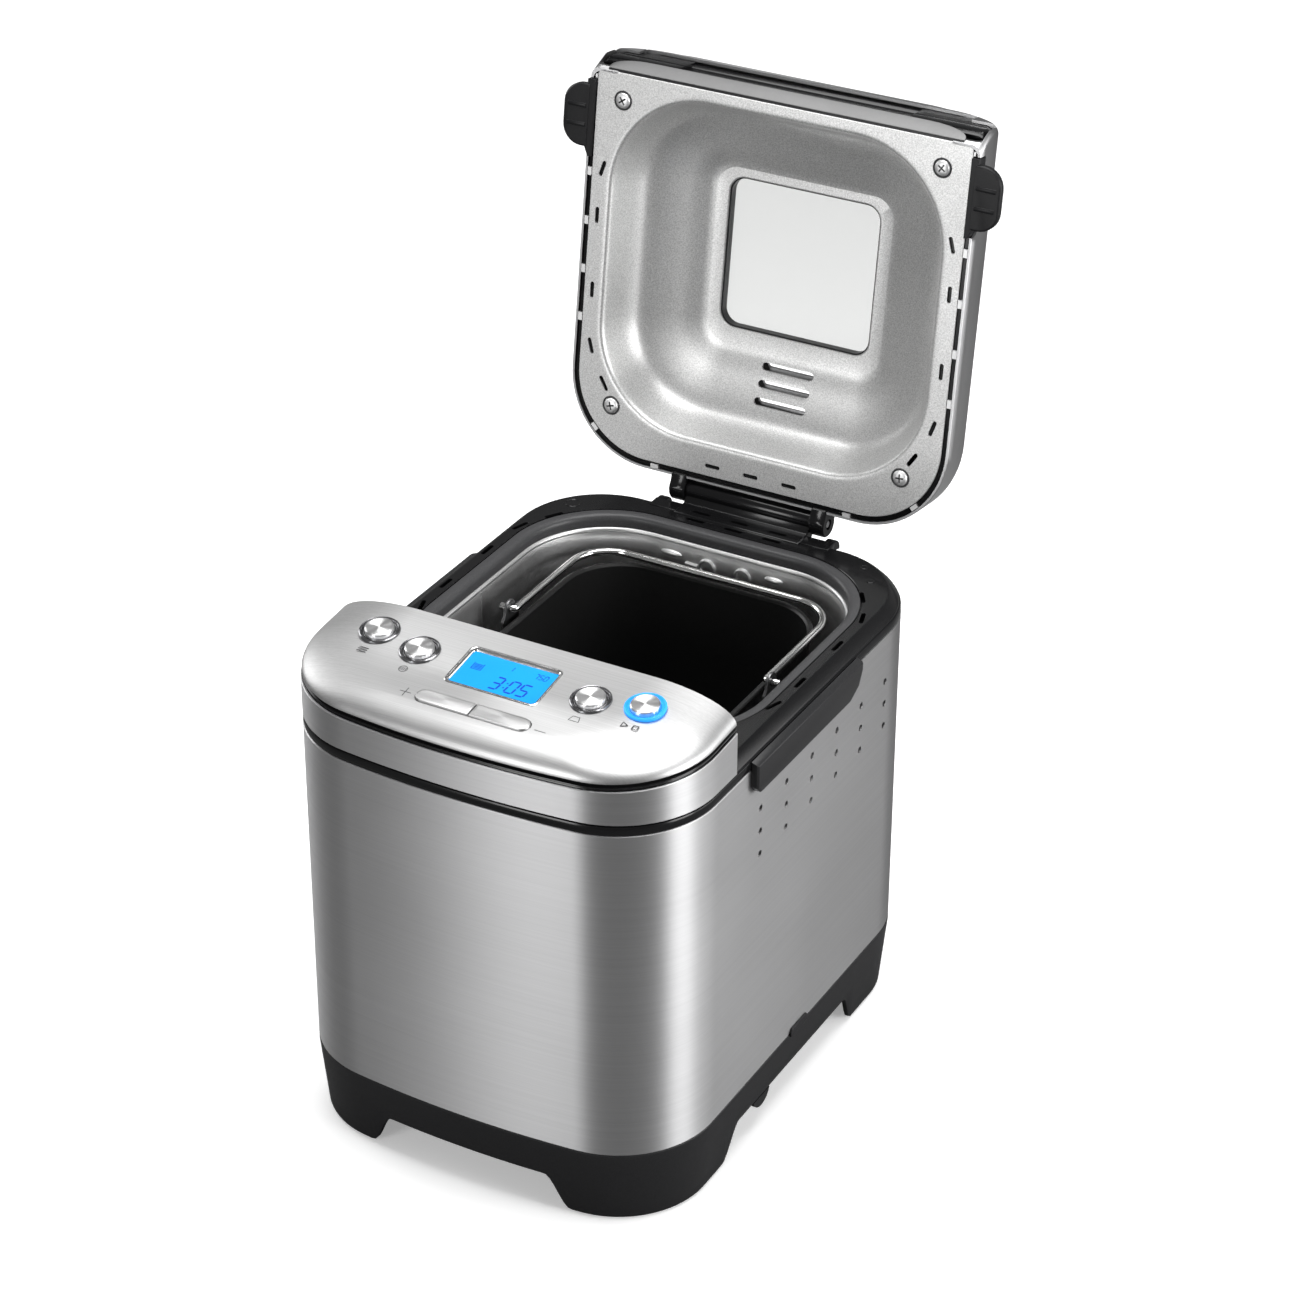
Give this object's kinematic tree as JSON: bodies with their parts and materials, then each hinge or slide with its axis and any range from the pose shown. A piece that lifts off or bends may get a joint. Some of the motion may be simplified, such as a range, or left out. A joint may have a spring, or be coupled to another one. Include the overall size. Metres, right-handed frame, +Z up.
{
  "type": "bread machine",
  "caption": "Compact bread maker with a brushed steel body, hinged lid with window, lift-out pan with bail and paddle, and sloping button panel with display.",
  "frame": {"origin": "on the floor that the feet stand on, in the middle of the whole part with its lid open; the body's own middle is 36.2 mm in front of it", "axes": "+Z up, the front with the control panel faces -Y, +X is the right side seen from the front; stored with the lid open"},
  "size_m": [0.253, 0.3724, 0.4737],
  "materials": {
    "casing_steel": "fine horizontal brushing",
    "fascia_metal": "fine horizontal brushing",
    "base_black": "satin moulded",
    "deck_black": "satin gloss moulded",
    "trim_black": "satin moulded",
    "rubber": "matt",
    "cover_black": "textured",
    "screw_steel": "polished",
    "chassis_steel": "zinc plated",
    "motor_steel": "satin",
    "shaft_steel": "ground",
    "nylon": "moulded",
    "fan_white": "moulded",
    "belt_rubber": "ribbed",
    "cast_alloy": "cast",
    "bronze": "sintered",
    "chamber_steel": "satin",
    "heater": "heat-darkened",
    "bracket_steel": "plain",
    "glass_pale": "clear",
    "lcd_glass": "gloss",
    "lcd_body": "lit display",
    "pcb": "coated laminate",
    "ring_smoke": "smoky polished",
    "ring_blue": "lit translucent",
    "button_metal": "spun",
    "key_metal": "satin metallic",
    "bezel_metal": "polished",
    "nonstick": "matt non-stick coating",
    "pan_metal": "cast",
    "bail_chrome": "polished wire",
    "paddle_black": "matt non-stick coating",
    "shell_steel": "fine brushing",
    "lid_black": "satin gloss moulded",
    "liner_silver": "pearl with fine speckle",
    "handle_grey": "ribbed",
    "frame_dark": "satin"
  },
  "bodies": {
    "housing": {"base_tray": "base_black", "rubber_feet": "rubber", "bottom_cover": "cover_black", "base_screws": "screw_steel", "chassis_plate": "chassis_steel", "motor_body": "motor_steel", "drive_belt": "belt_rubber", "bearing_housing": "cast_alloy", "shaft_bush": "bronze", "oven_chamber": "chamber_steel", "heater_element": "heater", "heater_brackets": "bracket_steel", "temperature_sensor": "bracket_steel", "pan_socket": "bracket_steel", "outer_casing": "casing_steel", "casing_clips": "base_black", "cord_gland": "base_black", "deck_ring": "deck_black", "side_trim_left": "trim_black", "side_trim_right": "trim_black", "control_band": "casing_steel", "panel_frame": "deck_black", "fascia": "fascia_metal", "lcd_bezel": "bezel_metal", "lcd_window": "lcd_glass", "lcd_module": "lcd_body", "control_pcb": "pcb", "power_pcb": "pcb", "button_rings": "ring_smoke", "start_light_ring": "ring_blue"},
    "lid": {"lid_shell": "shell_steel", "lid_frame": "lid_black", "lid_liner": "liner_silver", "window_glass": "glass_pale", "window_frame": "frame_dark", "lid_screws": "screw_steel", "lid_clips": "screw_steel", "lid_handle_left": "handle_grey", "lid_handle_right": "handle_grey", "hinge_pin": "shaft_steel"},
    "pan": {"pan_body": "nonstick", "pan_base": "pan_metal", "pan_ears": "pan_metal", "pan_bush": "bronze"},
    "bail": {"pan_bail": "bail_chrome"},
    "paddle": {"pan_spindle": "shaft_steel", "kneading_paddle": "paddle_black"},
    "drive": {"drive_shaft": "shaft_steel", "large_pulley": "nylon", "drive_coupler": "cast_alloy"},
    "rotor": {"motor_shaft": "shaft_steel", "motor_pulley": "nylon", "motor_fan": "fan_white"},
    "menu": {"menu_button": "button_metal"},
    "crust": {"crust_button": "button_metal"},
    "weight": {"weight_button": "button_metal"},
    "start": {"start_button": "button_metal"},
    "plus": {"plus_key": "key_metal"},
    "minus": {"minus_key": "key_metal"}
  },
  "joints": [
    {"name": "lid_hinge", "type": "hinge", "parent": "housing", "child": "lid", "pos_m": [0, 0.1198, 0.249], "axis": [-1, 0, 0], "range_deg": [-98, 0]},
    {"name": "pan_lift", "type": "slide", "parent": "housing", "child": "pan", "axis": [0, 0, 1], "range_m": [0, 0.2]},
    {"name": "bail_swing", "type": "hinge", "parent": "pan", "child": "bail", "pos_m": [0, -0.0047, 0.2253], "axis": [1, 0, 0], "range_deg": [0, 178]},
    {"name": "paddle_spin", "type": "hinge", "parent": "pan", "child": "paddle", "pos_m": [0, -0.0047, 0.09], "axis": [0, 0, 1], "continuous": true},
    {"name": "drive_spin", "type": "hinge", "parent": "housing", "child": "drive", "pos_m": [0, -0.0047, 0.05], "axis": [0, 0, 1], "continuous": true},
    {"name": "motor_spin", "type": "hinge", "parent": "housing", "child": "rotor", "pos_m": [-0.042, -0.1377, 0.05], "axis": [0, 0, 1], "continuous": true},
    {"name": "menu_press", "type": "slide", "parent": "housing", "child": "menu", "axis": [0, 0.1478, -0.989], "range_m": [0, 0.001], "stiffness_N_per_m": 300, "springref_m": -0.0005},
    {"name": "crust_press", "type": "slide", "parent": "housing", "child": "crust", "axis": [0, 0.1478, -0.989], "range_m": [0, 0.001], "stiffness_N_per_m": 300, "springref_m": -0.0005},
    {"name": "weight_press", "type": "slide", "parent": "housing", "child": "weight", "axis": [0, 0.1478, -0.989], "range_m": [0, 0.001], "stiffness_N_per_m": 300, "springref_m": -0.0005},
    {"name": "start_press", "type": "slide", "parent": "housing", "child": "start", "axis": [0, 0.1478, -0.989], "range_m": [0, 0.001], "stiffness_N_per_m": 300, "springref_m": -0.0005},
    {"name": "plus_press", "type": "slide", "parent": "housing", "child": "plus", "axis": [0, 0.1478, -0.989], "range_m": [0, 0.001], "stiffness_N_per_m": 300, "springref_m": -0.0005},
    {"name": "minus_press", "type": "slide", "parent": "housing", "child": "minus", "axis": [0, 0.1478, -0.989], "range_m": [0, 0.001], "stiffness_N_per_m": 300, "springref_m": -0.0005}
  ],
  "couplings": [
    {"joint": "motor_spin", "follows": "drive_spin", "ratio": 5.5556},
    {"joint": "paddle_spin", "follows": "drive_spin", "ratio": 1}
  ]
}
